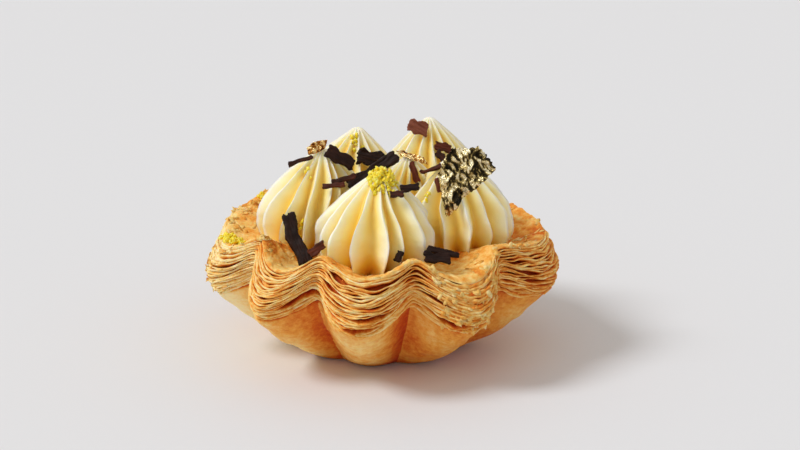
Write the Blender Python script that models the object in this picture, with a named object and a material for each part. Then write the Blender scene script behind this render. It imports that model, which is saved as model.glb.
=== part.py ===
"""A lemon tart: a scalloped puff pastry shell, six piped cream kisses, and a topping of
dark chocolate shavings, gold leaf and lemon zest.

Metres, +Z up. The origin is the middle of the flat base. The front of the tart is -Y.
Sizes are written in millimetres and become metres where a mesh is made.
"""

import math
import random

import bmesh
import bpy
import numpy as np
from mathutils import Euler, Matrix, Vector
from mathutils.bvhtree import BVHTree

MM = 0.001

# The shell is a star of nine lobes. A crease is where the wall folds in between two lobes.
CREASES_AT_RIM = (15, 54, 93, 137, 174, 215, 247, 283, 321)
CREASES_AT_FOOT = (12, 52, 92, 135, 172, 205, 240, 281, 318)
CREASE_SOFTNESS = 0.16

# Control points of the shell's section: (radius, height) in a crease, then in a lobe.
FOOT_EDGE = ((16.4, 0.0), (18.6, 0.0))
HEEL = ((17.8, 0.8), (20.2, 0.8))
BELLY = ((23.6, 7.0), (30.2, 5.2))
SHOULDER = ((30.6, 18.4), (38.4, 14.2))
GIRTH = ((35.4, 23.5), (43.0, 18.8))
RIM = ((32.6, 29.4), (36.6, 26.0))
LIP = ((30.6, 30.8), (35.0, 27.6))
SLOPE = ((27.0, 26.0), (31.0, 23.4))
FLOOR_EDGE = ((15.0, 24.1), (15.0, 24.1))
FLOOR_HEIGHT = 24.0

WALL = (HEEL, BELLY, SHOULDER)
BAND = (SHOULDER, GIRTH, RIM)
DISH = (RIM, LIP, SLOPE, FLOOR_EDGE)

# How much further out and higher each lobe's rim is, starting with the lobe after the first crease,
# how much its rim climbs from one end to the other, and the first two again for the creases.
LOBE_REACH = (-2.4, -0.4, 0.0, 0.0, 0.4, -0.2, 0.8, 0.4, 1.0)
LOBE_LIFT = (0.4, 2.4, 3.0, 2.0, 0.6, 0.0, 1.4, -1.8, 1.4)
LOBE_CLIMB = (0.0, 0.0, 0.0, 0.0, -2.4, 0.0, 0.0, 0.0, 2.6)
CREASE_REACH = (-0.4, -0.8, 0.0, 0.6, 2.2, 0.0, 0.6, 0.6, 0.6)
CREASE_LIFT = (0.2, 0.8, 1.0, 1.6, 0.4, 1.0, 0.4, 0.0, -0.4)

# The shell's mesh. The band is the cut edge of the dough, and its baked layers stand out as ledges.
SHELL_SIDES = 136
WALL_STEPS = (0.0, 0.3, 0.65, 1.0)
LEDGES = 6
LEDGE_RELIEF = 1.1
LIP_STEPS = (0.1, 0.3, 0.55, 1.0)
FOOT_INNER = 8.0

# Each kiss: place of its foot, largest radius, height of its tip, how far the tip leans, its twist
# in degrees from tip to foot, and the seed that spaces its fins.
KISSES = {
    "cream_front": ((-2.0, -18.6), 13.5, 45.6, (1.9, 1.4), 14, 3),
    "cream_left": ((-15.4, -4.0), 13.2, 47.2, (2.0, 0.2), -10, 5),
    "cream_right": ((17.2, -5.0), 13.2, 45.8, (-0.6, 0.4), 12, 8),
    "cream_back_left": ((-8.4, 15.8), 13.0, 47.2, (2.6, -1.2), -12, 13),
    "cream_back_right": ((11.4, 14.6), 13.4, 49.8, (-0.4, -0.6), 10, 21),
    "cream_centre": ((5.4, 1.2), 10.6, 44.0, (0.6, 0.2), -14, 34),
}
FINS = 14
FIN_DEPTH = 0.25
FIN_SHARPNESS = 2.4
DOME = 0.7
TIP_PULL = 1.0
FOOT_GAP = 0.9
SOLE_RINGS = (0.5,)
SIDE_GAP = 0.17
KISS_LEVELS = (0.04, 0.13, 0.25, 0.38, 0.5, 0.62, 0.74, 0.85, 0.94, 1.0)
POINTS_PER_FIN = 3

# Shavings: middle, (length, width, thickness), bend out of and in their plane in degrees, (slant seen
# from the front, lean to the back, turn about Z) in degrees, and the way each one is pushed until it
# meets what it lies on.
BACK = (0, 0.954, -0.3)
DOWN = (0, 0, -1)
SHAVINGS = {
    "shaving_front_left": ((-19.0, -21.6, 31.0), (12.0, 3.2, 1.4), (16, 28), (-68, 34, 0), BACK),
    "shaving_left_tip": ((-18.6, -7.4, 46.4), (5.8, 0.9, 0.8), (0, 0), (18, 40, 6), (0.3, 0, -1)),
    "slab_left": ((-9.3, -4.0, 44.8), (6.6, 3.0, 1.0), (0, 0), (-29, 12, 4), BACK),
    "slab_back": ((-2.6, 3.0, 43.0), (6.2, 3.6, 1.0), (6, 0), (-8, 18, -6), BACK),
    "curl_middle": ((-2.0, -8.0, 42.7), (12.8, 3.0, 1.4), (24, 6), (33, 30, 4), BACK),
    "stick_middle_upper": ((-8.5, -10.0, 41.5), (5.4, 1.0, 0.8), (4, 0), (15, 40, 2), BACK),
    "stick_middle_lower": ((-10.7, -11.0, 40.4), (5.0, 1.0, 0.8), (0, 0), (8, 40, -4), BACK),
    "flake_back_right": ((8.3, 9.0, 48.6), (4.6, 3.2, 0.6), (0, 0), (-17, 14, 6), BACK),
    "flake_right_upper": ((14.0, 2.0, 45.9), (3.8, 2.0, 0.6), (8, 0), (-15, 24, 10), BACK),
    "flake_right_lower": ((13.5, 0.0, 44.3), (2.8, 1.6, 0.6), (0, 0), (-45, 34, 0), BACK),
    "strip_centre_steep": ((7.3, -7.0, 42.5), (4.8, 1.3, 0.6), (10, 10), (-73, 20, 0), BACK),
    "strip_centre_long": ((10.9, -6.0, 42.5), (4.9, 0.9, 0.7), (8, 18), (19, 40, 0), BACK),
    "stick_right": ((12.5, -11.0, 40.4), (3.3, 0.8, 0.6), (0, 0), (-78, 20, 0), BACK),
    "flake_gap": ((6.2, -12.0, 40.0), (4.0, 1.6, 0.7), (10, 0), (7, 40, 4), BACK),
    "flake_front_tip": ((3.4, -19.0, 40.7), (2.9, 1.4, 0.7), (0, 0), (3, 30, 0), BACK),
    "stick_right_low": ((13.5, -25.0, 29.4), (7.0, 1.2, 0.9), (4, 0), (-14, 40, 4), BACK),
    "slab_right_low": ((12.2, -26.0, 28.4), (5.6, 2.6, 0.9), (6, 0), (-5, 40, 8), BACK),
    "bit_front": ((3.9, -33.0, 31.0), (2.3, 1.4, 0.7), (0, 0), (68, 20, 0), BACK),
    "flake_gap_left": ((-14.0, -21.0, 28.8), (3.8, 1.8, 0.7), (10, 0), (36, 24, 0), BACK),
}
SHAVING_SECTIONS = 6
TOUCH_GAP = 0.32
PRESS_STEP = 0.1
PRESS_REACH = 14.0

# Gold leaf: middle, corners of the outline seen from the front, (slant, lean, turn), and push.
GOLD_LEAVES = {
    "gold_leaf_right": (
        (18.8, -16.0, 43.7),
        ((-4.9, -9.1), (-2.4, -7.6), (-0.9, -4.9), (2.7, -2.2), (4.9, 0.0), (6.7, 1.8), (5.2, 4.6),
         (2.7, 7.1), (-0.2, 6.6), (-3.1, 6.9), (-5.1, 4.5), (-6.5, 0.7), (-5.6, -4.9)),
        (0, 10, 4),
        BACK,
    ),
    "gold_leaf_left": (
        (-14.6, -5.0, 50.4),
        ((-1.8, -1.8), (0.4, -1.1), (2.0, 0.2), (2.4, 2.0), (0.9, 1.8), (-0.9, 1.3), (-2.4, -0.2)),
        (-4, 24, 0),
        DOWN,
    ),
    "gold_leaf_centre": (
        (6.8, 0.4, 48.0),
        ((-2.7, -0.6), (0.0, -0.9), (2.7, -1.7), (4.0, -1.2), (2.9, -0.1), (0.0, 1.0), (-2.2, 1.2),
         (-3.8, 0.6)),
        (-8, 42, -6),
        DOWN,
    ),
}
LEAF_THICKNESS = 0.35
LEAF_CRUMPLE = 0.55
LEAF_RINGS = (0.34, 0.68, 1.0)

# Zest grains, fused to what they lie on: the piece under them, the middle of the patch as (x, y), the
# patch's spread, how many grains, and a seed.
ZEST = (
    ("cream_front", (0.6, -18.6), 3.4, 16, 2),
    ("cream_left", (-17.4, -13.0), 0.9, 2, 4),
    ("cream_left", (-16.6, -9.4), 1.0, 2, 6),
    ("cream_back_left", (-5.4, 10.4), 1.6, 3, 7),
    ("cream_right", (10.0, -10.6), 0.9, 2, 9),
    ("pastry_shell", (-34.0, -8.6), 2.6, 7, 11),
    ("pastry_shell", (-28.6, 18.4), 1.0, 2, 12),
)
GRAIN_SIZE = 1.15
GRAIN_SINK = 0.36


def crease_angles(share):
    """The crease angles in degrees, from the foot (share 0) to the rim (share 1)."""
    return [low + (high - low) * share for low, high in zip(CREASES_AT_FOOT, CREASES_AT_RIM)]


def lobe_at(angle, share):
    """(lobe number, place across the lobe from 0 to 1, bulge from 0 in a crease to 1 mid-lobe)."""
    creases = crease_angles(share)
    turned = (math.degrees(angle) - creases[0]) % 360 + creases[0]
    edges = creases + [creases[0] + 360]
    lobe = max(i for i in range(len(creases)) if edges[i] <= turned + 1e-9)
    across = (turned - edges[lobe]) / (edges[lobe + 1] - edges[lobe])
    soft = CREASE_SOFTNESS
    bulge = math.hypot(math.sin(math.pi * across), soft) - soft
    return lobe, across, bulge / (math.hypot(1, soft) - soft)


def bezier(controls, share):
    """A point on the Bezier curve through the first and last of some (radius, height) points."""
    points = [Vector(c) for c in controls]
    while len(points) > 1:
        points = [a.lerp(b, share) for a, b in zip(points, points[1:])]
    return points[0]


def shell_section(curve, share, angle, turn_share, rim_share):
    """(radius, height) of the shell where one of its section curves meets an angle."""
    lobe, across, bulge = lobe_at(angle, turn_share)
    low = bezier([c[0] for c in curve], share)
    high = bezier([c[1] for c in curve], share)
    following = (lobe + 1) % len(CREASE_LIFT)
    crease_lift = CREASE_LIFT[lobe] * (1 - across) + CREASE_LIFT[following] * across
    crease_reach = CREASE_REACH[lobe] * (1 - across) + CREASE_REACH[following] * across
    low = low + Vector((crease_reach, crease_lift)) * rim_share
    lobe_lift = LOBE_LIFT[lobe] + LOBE_CLIMB[lobe] * (across - 0.5)
    high = high + Vector((LOBE_REACH[lobe], lobe_lift)) * rim_share
    return low.lerp(high, bulge)


def wall_point(share, angle):
    return shell_section(WALL, share, angle, 0.5 * share, 0.3 * share**2)


def band_point(share, angle):
    return shell_section(BAND, share, angle, 0.5 + 0.5 * share, 0.3 + 0.7 * share)


def dish_point(share, angle):
    return shell_section(DISH, share, angle, 1.0, (1 - share) ** 2)


def ledge_offset(row, share, angle):
    """How far a ledge (odd row) stands out of the band, or a gap between two (even row) goes in."""
    lively = 0.75 + 0.25 * math.sin(5 * angle + 2.3 * row) * math.cos(9 * angle - 1.7 * row)
    side = 0.45 if row % 2 else -0.55
    return side * LEDGE_RELIEF * lively * math.sin(math.pi * share) ** 0.4


def around(radius, height, angle):
    return (radius * math.cos(angle) * MM, radius * math.sin(angle) * MM, height * MM)


def shell_ring(angle_of_side):
    """One side's points, from the foot's middle ring, up the wall and over the rim, to the floor."""
    angle = angle_of_side
    _, _, bulge = lobe_at(angle, 0.0)
    foot_radius = FOOT_EDGE[0][0] + (FOOT_EDGE[1][0] - FOOT_EDGE[0][0]) * bulge
    rows = [(FOOT_INNER, 0.0), (foot_radius, 0.0)]
    rows += [wall_point(share, angle) for share in WALL_STEPS]
    for row in range(1, 2 * LEDGES):
        share = row / (2 * LEDGES)
        radius, height = band_point(share, angle)
        rows.append((radius + ledge_offset(row, share, angle), height))
    rows.append(band_point(1.0, angle))
    rows += [dish_point(share, angle) for share in LIP_STEPS]
    return [around(radius, height, angle) for radius, height in rows]


def skin(rings, bottom, top):
    """A closed mesh over rings of points, with a point at each end. Rings run round +Z, low to high."""
    mesh = bmesh.new()
    made = [[mesh.verts.new(p) for p in ring] for ring in rings]
    low, high = mesh.verts.new(bottom), mesh.verts.new(top)
    sides = len(made[0])
    for i in range(sides):
        j = (i + 1) % sides
        mesh.faces.new((low, made[0][j], made[0][i]))
        mesh.faces.new((high, made[-1][i], made[-1][j]))
        for a, b in zip(made, made[1:]):
            mesh.faces.new((a[i], a[j], b[j], b[i]))
    bmesh.ops.triangulate(mesh, faces=mesh.faces[:])
    return mesh


def make_object(name, mesh, material):
    data = bpy.data.meshes.new(name)
    mesh.to_mesh(data)
    mesh.free()
    data.materials.append(material)
    part = bpy.data.objects.new(name, data)
    bpy.context.scene.collection.objects.link(part)
    return part


def material(name, colour, roughness, metallic=0.0):
    made = bpy.data.materials.new(name)
    made.use_nodes = True
    shader = made.node_tree.nodes["Principled BSDF"]
    shader.inputs["Base Color"].default_value = (*colour, 1)
    shader.inputs["Roughness"].default_value = roughness
    shader.inputs["Metallic"].default_value = metallic
    return made


def make_shell(pastry):
    columns = [shell_ring(2 * math.pi * i / SHELL_SIDES) for i in range(SHELL_SIDES)]
    rings = list(zip(*columns))
    return make_object("pastry_shell", skin(rings, (0, 0, 0), (0, 0, FLOOR_HEIGHT * MM)), pastry)


def dish_height(x, y):
    """Height of the shell's inner surface at a place, in millimetres."""
    angle = math.atan2(y, x)
    radii, heights = zip(*(dish_point(share, angle) for share in (*reversed(LIP_STEPS), 0)))
    return float(np.interp(math.hypot(x, y), (0, *radii), (FLOOR_HEIGHT, *heights)))


def fin_angles(name):
    """The directions of a kiss's fins, spaced unevenly as a nozzle leaves them, and each fin's height."""
    seed = KISSES[name][5]
    draw = random.Random(seed)
    step = 2 * math.pi / FINS
    angles = [step * (i + draw.uniform(-0.2, 0.2)) + 0.1 * seed for i in range(FINS)]
    heights = [draw.uniform(0.93, 1.03) for _ in range(FINS)]
    return angles, heights


def fin_shape(name, direction):
    """How far out a kiss reaches in a direction, as a share of its radius: 1 on a fin's edge."""
    angles, heights = fin_angles(name)
    full = 2 * math.pi
    gaps = sorted(((direction - a) % full, i) for i, a in enumerate(angles))
    behind, first = gaps[0]
    ahead, second = gaps[-1]
    ahead = full - ahead
    across = behind / (behind + ahead)
    height = heights[first] * (1 - across) + heights[second] * across
    return height * (1 - FIN_DEPTH * (1 - abs(math.cos(math.pi * across)) ** FIN_SHARPNESS))


def kiss_walls(name):
    """The upright planes where a kiss is pressed flat against its neighbours: (normal, distance)."""
    place, radius = Vector(KISSES[name][0]), KISSES[name][1]
    walls = []
    for other, (spot, reach, *_) in KISSES.items():
        apart = Vector(spot) - place
        if other != name and apart.length < radius + reach:
            walls.append((apart.normalized(), apart.length * radius / (radius + reach) - SIDE_GAP))
    return walls


def kiss_point(name, level, direction, inset=1.0):
    """A point on a kiss, in millimetres: level 0 at the tip, 1 at the foot, and inset below 1 on the sole."""
    place, radius, tip, lean, twist, _ = KISSES[name]
    height = tip - (tip - FLOOR_HEIGHT) * level
    shape = fin_shape(name, direction)
    turned = direction + math.radians(twist) * (level - 0.5)
    out = radius * math.sin(DOME * math.pi * level**TIP_PULL) * shape
    toward = Vector((math.cos(turned), math.sin(turned)))
    axis = Vector(lean) * (1 - level) ** 1.5
    for normal, distance in kiss_walls(name):
        facing = normal.dot(toward)
        if facing > 0.02:
            out = min(out, max(0.3, (distance - normal.dot(axis)) / facing))
    spot = Vector(place) + axis + toward * out * inset
    return Vector((spot.x, spot.y, max(height, dish_height(*spot) + FOOT_GAP)))


def kiss_directions(name):
    """Directions round a kiss: one on each fin's edge and the others spaced between."""
    angles, _ = fin_angles(name)
    ends = angles[1:] + [angles[0] + 2 * math.pi]
    return [
        a + (b - a) * k / POINTS_PER_FIN for a, b in zip(angles, ends) for k in range(POINTS_PER_FIN)
    ]


def make_kiss(name, cream):
    directions = kiss_directions(name)
    rings = [[kiss_point(name, 1.0, d, inset) * MM for d in directions] for inset in SOLE_RINGS]
    rings += [[kiss_point(name, level, d) * MM for d in directions] for level in reversed(KISS_LEVELS)]
    place, _, tip, lean, _, _ = KISSES[name]
    sole = Vector((*place, dish_height(*place) + FOOT_GAP)) * MM
    peak = Vector((place[0] + lean[0], place[1] + lean[1], tip)) * MM
    return make_object(name, skin(rings, sole, peak), cream)


def turned(slant, lean, turn):
    """The rotation of a piece that faces the front: slanted, leant back, then turned about Z."""
    slant, lean, turn = (math.radians(a) for a in (slant, lean, turn))
    return Matrix.Rotation(turn, 3, "Z") @ Matrix.Rotation(-lean, 3, "X") @ Matrix.Rotation(-slant, 3, "Y")


def shaving_mesh(size, bends, turn, grow=0.0):
    """A curved shaving of chocolate: uneven four-cornered sections along an arc."""
    length, width, thickness = (s + 2 * grow for s in size)
    bend, sweep = (math.radians(b) for b in bends)
    spin = turned(*turn)
    sections = []
    for i in range(SHAVING_SECTIONS):
        along = i / (SHAVING_SECTIONS - 1) - 0.5
        wide = width * (1 - 0.18 * abs(math.sin(2.7 * i + size[0])))
        slide = 0.1 * width * math.sin(4.1 * i + size[1]) + length * sweep * along**2 / 2
        arc = bend * along
        rise = length * bend * along**2 / 2
        corners = []
        for side, layer in ((-1, -1), (1, -1), (1, 1), (-1, 1)):
            x = length * along + layer * thickness / 2 * math.sin(arc)
            y = -rise - layer * thickness / 2 * math.cos(arc)
            z = side * wide / 2 + slide
            corners.append(spin @ Vector((x, y, z)) * MM)
        sections.append(corners)
    mesh = bmesh.new()
    made = [[mesh.verts.new(p) for p in corners] for corners in sections]
    for a, b in zip(made, made[1:]):
        for k in range(4):
            mesh.faces.new((a[k], b[k], b[(k + 1) % 4], a[(k + 1) % 4]))
    mesh.faces.new(made[0])
    mesh.faces.new(reversed(made[-1]))
    bmesh.ops.recalc_face_normals(mesh, faces=mesh.faces[:])
    bmesh.ops.triangulate(mesh, faces=mesh.faces[:])
    return mesh


def leaf_height(x, y):
    """The crumple of a gold leaf."""
    waves = math.sin(1.3 * x + 0.7 * y) * math.cos(1.1 * y - 0.5 * x)
    return LEAF_CRUMPLE * (waves + 0.5 * math.sin(2.3 * y))


def leaf_mesh(outline, turn, grow=0.0):
    """A thin crumpled leaf. It stands in the XZ plane before it is turned, and has two like faces."""
    spin = turned(*turn)
    half = LEAF_THICKNESS / 2 + grow
    mesh = bmesh.new()

    def face_points(side):
        def at(x, y):
            return mesh.verts.new(spin @ Vector((x, leaf_height(x, y) + side * half, y)) * MM)

        middle = at(0, 0)
        rings = []
        for ring in LEAF_RINGS:
            stretch = ring * (1 + grow / 6)
            rings.append([at(x * stretch, y * stretch) for x, y in outline])
        return middle, rings

    front, back = face_points(-1), face_points(1)
    sides = len(outline)
    for middle, rings in (front, back):
        for i in range(sides):
            j = (i + 1) % sides
            mesh.faces.new((middle, rings[0][i], rings[0][j]))
            for a, b in zip(rings, rings[1:]):
                mesh.faces.new((a[i], b[i], b[j]))
                mesh.faces.new((a[i], b[j], a[j]))
    for i in range(sides):
        j = (i + 1) % sides
        mesh.faces.new((front[1][-1][i], front[1][-1][j], back[1][-1][j], back[1][-1][i]))
    bmesh.ops.recalc_face_normals(mesh, faces=mesh.faces[:])
    bmesh.ops.triangulate(mesh, faces=mesh.faces[:])
    return mesh


def tree_of(part):
    """A collision tree of a part, in world coordinates."""
    mesh = bmesh.new()
    mesh.from_mesh(part.data)
    mesh.transform(part.matrix_basis)
    tree = BVHTree.FromBMesh(mesh)
    mesh.free()
    return tree


def press(swollen, start, push, trees):
    """Where a piece comes to rest: backed off until it is clear of the others, then pushed in to touch."""
    way = Vector(push).normalized()
    faces = [[v.index for v in f.verts] for f in swollen.faces]
    corners = [v.co.copy() for v in swollen.verts]

    def blocked(distance):
        shift = (Vector(start) + way * distance) * MM
        tree = BVHTree.FromPolygons([c + shift for c in corners], faces)
        return any(tree.overlap(other) for other in trees)

    distance = 0.0
    while blocked(distance) and distance > -PRESS_REACH:
        distance -= PRESS_STEP
    while not blocked(distance + PRESS_STEP) and distance < PRESS_REACH:
        distance += PRESS_STEP
    return (Vector(start) + way * distance) * MM


def rest(name, mesh, swollen, start, push, trees, finish):
    """Makes a loose piece where it comes to rest, and adds it to what later pieces lie on."""
    swollen.verts.index_update()
    place = press(swollen, start, push, trees)
    swollen.free()
    part = make_object(name, mesh, finish)
    part.location = place
    trees.append(tree_of(part))
    return part


def grain(spot, draw):
    """One grain of zest: a small uneven lump."""
    mesh = bmesh.new()
    bmesh.ops.create_icosphere(mesh, subdivisions=1, radius=GRAIN_SIZE / 2 * MM)
    stretch = [draw.uniform(0.8, 1.6) for _ in range(3)]
    spin = Euler([draw.uniform(0, math.pi) for _ in range(3)]).to_matrix()
    for corner in mesh.verts:
        swell = 1 + draw.uniform(-0.15, 0.15)
        corner.co = spin @ Vector([c * s * swell for c, s in zip(corner.co, stretch)]) + spot
    return mesh


def fuse_zest(parts):
    """Joins each patch of zest to the part that it lies on."""
    for carrier in dict.fromkeys(z[0] for z in ZEST):
        part = parts[carrier]
        tree = tree_of(part)
        grains = bpy.data.collections.new("grains")
        for _, middle, spread, count, seed in (z for z in ZEST if z[0] == carrier):
            draw = random.Random(seed)
            for k in range(count):
                turn, out = 2.4 * k, spread * math.sqrt((k + 0.3) / count)
                x = middle[0] + out * math.cos(turn)
                y = middle[1] + out * math.sin(turn)
                hit, normal, _, _ = tree.ray_cast(Vector((x * MM, y * MM, 0.1)), Vector((0, 0, -1)))
                mesh = grain(hit + normal * (GRAIN_SIZE / 2 - GRAIN_SINK) * MM, draw)
                grains.objects.link(make_object("grain", mesh, part.data.materials[0]))
        join = part.modifiers.new("zest", "BOOLEAN")
        join.operation = "UNION"
        join.operand_type = "COLLECTION"
        join.solver = "MANIFOLD"
        join.collection = grains
        bpy.context.view_layer.update()
        fused = bpy.data.meshes.new_from_object(part.evaluated_get(bpy.context.evaluated_depsgraph_get()))
        part.modifiers.clear()
        part.data = fused
        for one in list(grains.objects):
            bpy.data.objects.remove(one)
        bpy.data.collections.remove(grains)


def main():
    for old in list(bpy.data.objects):
        bpy.data.objects.remove(old)
    pastry = material("baked_pastry", (0.72, 0.40, 0.13), 0.55)
    cream = material("lemon_cream", (0.90, 0.76, 0.42), 0.4)
    chocolate = material("dark_chocolate", (0.05, 0.02, 0.014), 0.4)
    gold = material("gold_leaf", (0.66, 0.52, 0.26), 0.25, 1.0)

    parts = {"pastry_shell": make_shell(pastry)}
    for name in KISSES:
        parts[name] = make_kiss(name, cream)
    fuse_zest(parts)

    trees = [tree_of(part) for part in parts.values()]
    for name, (start, size, bends, turn, push) in SHAVINGS.items():
        swollen = shaving_mesh(size, bends, turn, TOUCH_GAP)
        rest(name, shaving_mesh(size, bends, turn), swollen, start, push, trees, chocolate)
    for name, (start, outline, turn, push) in GOLD_LEAVES.items():
        swollen = leaf_mesh(outline, turn, TOUCH_GAP)
        rest(name, leaf_mesh(outline, turn), swollen, start, push, trees, gold)


main()
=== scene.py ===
"""The looks of a lemon tart: a puff pastry shell with its baked leaves, piped lemon cream kisses,
and a topping of dark chocolate shavings, crumpled gold leaf and lemon zest.

Sizes are in millimetres unless a name says otherwise, and become metres where a mesh is made.
"""

import math
import random

import bmesh
import bpy
import numpy as np
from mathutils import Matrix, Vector


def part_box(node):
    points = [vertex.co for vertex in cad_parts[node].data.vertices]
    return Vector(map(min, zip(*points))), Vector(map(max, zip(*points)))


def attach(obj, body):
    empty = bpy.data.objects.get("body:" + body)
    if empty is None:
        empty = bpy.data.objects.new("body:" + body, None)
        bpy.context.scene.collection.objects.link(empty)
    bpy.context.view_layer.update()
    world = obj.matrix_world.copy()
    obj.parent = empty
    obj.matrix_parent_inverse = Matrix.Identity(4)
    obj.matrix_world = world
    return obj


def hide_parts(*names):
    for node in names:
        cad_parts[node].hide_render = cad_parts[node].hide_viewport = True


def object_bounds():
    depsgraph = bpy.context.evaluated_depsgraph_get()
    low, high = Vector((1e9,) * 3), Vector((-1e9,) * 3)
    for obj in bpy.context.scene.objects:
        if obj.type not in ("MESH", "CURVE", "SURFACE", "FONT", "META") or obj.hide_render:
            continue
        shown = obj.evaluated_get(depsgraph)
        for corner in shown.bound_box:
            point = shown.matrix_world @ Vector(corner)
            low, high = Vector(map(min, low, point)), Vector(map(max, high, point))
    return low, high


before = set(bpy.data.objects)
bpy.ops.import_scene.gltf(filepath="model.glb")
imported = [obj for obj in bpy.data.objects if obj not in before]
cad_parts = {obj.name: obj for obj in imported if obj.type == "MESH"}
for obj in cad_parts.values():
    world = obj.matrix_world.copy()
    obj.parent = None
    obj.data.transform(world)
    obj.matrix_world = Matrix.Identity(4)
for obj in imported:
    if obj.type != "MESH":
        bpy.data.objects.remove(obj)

CAD_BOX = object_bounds()
MM = 0.001

# The view: where the camera looks, how far away it stands and how high above the table.
VIEW_AIM = (4.1, 0.0, 27.7)
VIEW_DISTANCE = 470.0
VIEW_ELEVATION = 17.5
VIEW_LENS = 92.0

# The shell is a star of nine lobes. A crease is where the wall folds in between two lobes.
CREASES_AT_RIM = np.array((15, 54, 93, 137, 174, 215, 247, 283, 321), float)
CREASES_AT_FOOT = np.array((12, 52, 92, 135, 172, 205, 240, 281, 318), float)
CREASE_SOFTNESS = 0.16
CREASE_ROUNDING = 0.12

# How much of the creases' turn, and of the lobes' lift and reach, the shoulder already has.
SHOULDER_TURN = 0.5
SHOULDER_RIM = 0.3

# Control points of the shell's section: (radius, height) in a crease, then in a lobe.
FOOT_EDGE = ((16.4, 0.0), (18.6, 0.0))
HEEL = ((17.8, 0.8), (20.2, 0.8))
BELLY = ((23.6, 7.0), (30.2, 5.2))
SHOULDER = ((30.6, 18.4), (38.4, 14.2))
GIRTH = ((35.4, 23.5), (43.0, 18.8))
RIM = ((32.6, 29.4), (36.6, 26.0))
LIP = ((30.6, 30.8), (35.0, 27.6))
SLOPE = ((27.0, 26.0), (31.0, 23.4))
FLOOR_EDGE = ((15.0, 24.1), (15.0, 24.1))
FLOOR_HEIGHT = 24.0
WALL = (HEEL, BELLY, SHOULDER)
BAND = (SHOULDER, GIRTH, RIM)
DISH = (RIM, LIP, SLOPE, FLOOR_EDGE)

# How much further out and higher each lobe's rim is, how much it climbs, and the same for creases.
LOBE_REACH = np.array((-2.4, -0.4, 0.0, 0.0, 0.4, -0.2, 0.8, 0.4, 1.0))
LOBE_LIFT = np.array((0.4, 2.4, 3.0, 2.0, 0.6, 0.0, 1.4, -1.8, 1.4))
LOBE_CLIMB = np.array((0.0, 0.0, 0.0, 0.0, -2.4, 0.0, 0.0, 0.0, 2.6))
CREASE_REACH = np.array((-0.4, -0.8, 0.0, 0.6, 2.2, 0.0, 0.6, 0.6, 0.6))
CREASE_LIFT = np.array((0.2, 0.8, 1.0, 1.6, 0.4, 1.0, 0.4, 0.0, -0.4))

# The leaves of the cut edge, from the shoulder to the rim. A leaf's section goes from its hidden
# root over its edge and back, as shares of its depth and of half its thickness.
COLUMNS = 960
LEAVES = 25
LEAF_PIECES = ("lower", "middle", "upper")
LEAF_DEPTH = 2.6
LEAF_FILL = 0.4
LEAF_SECTION = ((-1.0, 1.35), (-0.42, 1.35), (-0.2, 1.15), (-0.06, 0.8), (0.0, 0.0),
                (-0.06, -0.8), (-0.2, -1.15), (-0.42, -1.35), (-1.0, -1.35))
REACH_LIMIT = 0.5

# The radius on which lines round the shell are drawn, and the lengths of its band and its wall.
BAND_RADIUS = 38.0
BAND_LENGTH = 14.0
WALL_LENGTH = 25.0

# Ripples, each given as its strength, the size of its bumps in millimetres and its seed. Leaves wander
# up and down, reach out by themselves and in bundles, break, and vary in thickness, curl and colour.
# The wall swells and wrinkles.
LEAF_WANDER = ((0.7, 16, 11), (0.5, 4, 12), (0.15, 1.5, 23))
LEAF_REACH = ((0.16, 8, 14), (0.13, 2.4, 15), (0.09, 0.9, 16))
BUNDLE_REACH = ((0.2, 6, 24),)
RAGGED_REACH = ((0.16, 1.1, 25),)
LEAF_BREAKS = ((1.0, 7, 13),)
LEAF_THICKNESS = ((0.22, 7, 17), (0.18, 1.6, 18))
LEAF_CURL = ((0.1, 5, 19), (0.08, 1.6, 20))
LEAF_TONE = ((0.08, 12, 21), (0.1, 2.5, 22))
WALL_SWELL = ((0.3, 12, 31), (0.14, 4, 32))
WALL_WRINKLES = ((0.12, 1.6, 33),)
WALL_TONE = ((0.07, 8, 34),)
DISH_TONE = ((0.1, 7, 46), (0.06, 2, 47))

# How baked the edge of a leaf is, and how much darker it is painted deep between leaves and where
# they have parted, as painted shade in the gaps.
LEAF_BAKE = 0.18
GAP_SHADE = 0.46
PARTED_SHADE = 0.2

# How far up and down the band a parting is felt, and how far back a leaf breaks off.
PARTING_FADE = 0.12
BREAK_DEPTH = 0.6

# How baked the wall is on its lobes, how much darker its creases are painted as painted shade (more on
# the far side of each lobe, away from the light), how much more baked its foot is, how strongly the
# painted side shade shows on it, and how baked the sole is; the core between the leaves and the core's
# hidden top are painted dark as shade seen through the gaps.
WALL_BAKE = 0.27
CREASE_SHADE = 0.42
FOOT_BAKE = 0.22
WALL_SIDE_SHADE = 1.5
SOLE_BAKE = 0.5
CORE_SHADE = 0.75
CORE_TOP_SHADE = 0.9

# The rings of the wall, of the sole, of the dish (close together over the rim) and of its underside.
WALL_RINGS = 56
SOLE_SHARES = (0.3, 0.6, 0.85, 0.97)
DISH_SHARES = np.concatenate((np.linspace(0.0, 0.25, 26), np.linspace(0.27, 1.0, 44)))
UNDERSIDE_SHARES = (0.5, 0.1)
UNDERSIDE_DEPTH = 0.9

# How baked the dish and its underside are.
DISH_BAKE = 0.36
UNDERSIDE_BAKE = 0.8

# Torn sheets and blisters in the dish: the size of a sheet, the step from one to the next, and how
# much of the steps and of the blisters stands out.
SHEET_SIZE = 10
SHEET_STEP = 1.6
SHEET_RELIEF = 0.16
BLISTER_RELIEF = 0.22

# How far the core stays behind the leaves, at shares of the band from the shoulder to the rim.
CORE_INSETS = ((0.02, 0.8), (0.04, 1.6), (0.15, 2.1), (0.35, 2.2), (0.55, 2.2), (0.75, 2.2), (0.93, 2.0))

# How high the middle is of the core's top and of the dish's underside, hollow cones under the dish.
CORE_HOLLOW = 4.0
DISH_HOLLOW = 15.0

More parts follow.
